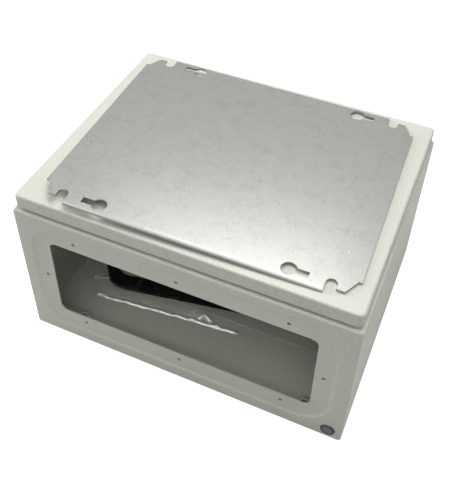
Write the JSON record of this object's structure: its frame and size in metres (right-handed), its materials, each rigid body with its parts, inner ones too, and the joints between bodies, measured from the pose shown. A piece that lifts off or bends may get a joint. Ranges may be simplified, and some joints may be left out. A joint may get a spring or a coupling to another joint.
{
  "type": "steel wall enclosure",
  "caption": "Shallow rectangular sheet-steel wall cabinet lying on its back, hinged flat door, open gland cut-out in one side, loose zinc mounting plate laid on the door.",
  "frame": {"origin": "middle of the back face, which meets the wall; here the cabinet lies on it", "axes": "+Z out of the door, +X towards the hinge side, -Y out of the gland side"},
  "size_m": [0.38, 0.3012, 0.2219],
  "materials": {
    "powder_coat": "fine textured powder coat",
    "door_coat": "fine textured powder coat",
    "zinc_sheet": "dull zinc plated",
    "zinc_fastener": "bright zinc plated",
    "die_cast": "satin chrome plated",
    "copper_stud": "copper flashed steel",
    "foam_rubber": "closed cell foam",
    "black_plastic": "moulded",
    "plug_plastic": "moulded",
    "clear_film": "clear poly film"
  },
  "bodies": {
    "cabinet": {"body_shell": "powder_coat", "face_plug": "plug_plastic", "hinge_brackets": "zinc_fastener", "body_earth_stud": "copper_stud", "body_earth_washer": "zinc_fastener", "body_earth_nut": "zinc_fastener", "gland_plate": "powder_coat", "gland_gasket": "foam_rubber", "accessory_bag": "clear_film", "gland_screws": "zinc_fastener", "plate_bolts": "zinc_fastener", "plate_nuts": "zinc_fastener", "sealing_washers": "foam_rubber", "door_key": "black_plastic"},
    "door": {"door_panel": "door_coat", "door_gasket": "foam_rubber", "door_hinge_lugs": "zinc_fastener", "hinge_pins": "zinc_fastener", "lock_housing": "die_cast", "lock_seal": "foam_rubber", "lock_nut": "zinc_fastener", "door_earth_stud": "copper_stud", "door_earth_washer": "zinc_fastener", "door_earth_nut": "zinc_fastener"},
    "lock_core": {"lock_insert": "die_cast", "lock_cam": "zinc_fastener", "cam_washer": "zinc_fastener", "cam_screw": "zinc_fastener"},
    "plate": {"mounting_plate": "zinc_sheet"}
  },
  "joints": [
    {"name": "door_hinge", "type": "hinge", "parent": "cabinet", "child": "door", "pos_m": [0.1824, 0, 0.199], "axis": [0, 1, 0], "range_deg": [0, 120]},
    {"name": "lock_turn", "type": "hinge", "parent": "door", "child": "lock_core", "pos_m": [-0.15, 0, 0.19], "axis": [0, 0, 1], "range_deg": [0, 90]},
    {"name": "plate_lift", "type": "slide", "parent": "door", "child": "plate", "axis": [0, 0, 1], "range_m": [0, 0.15]}
  ]
}
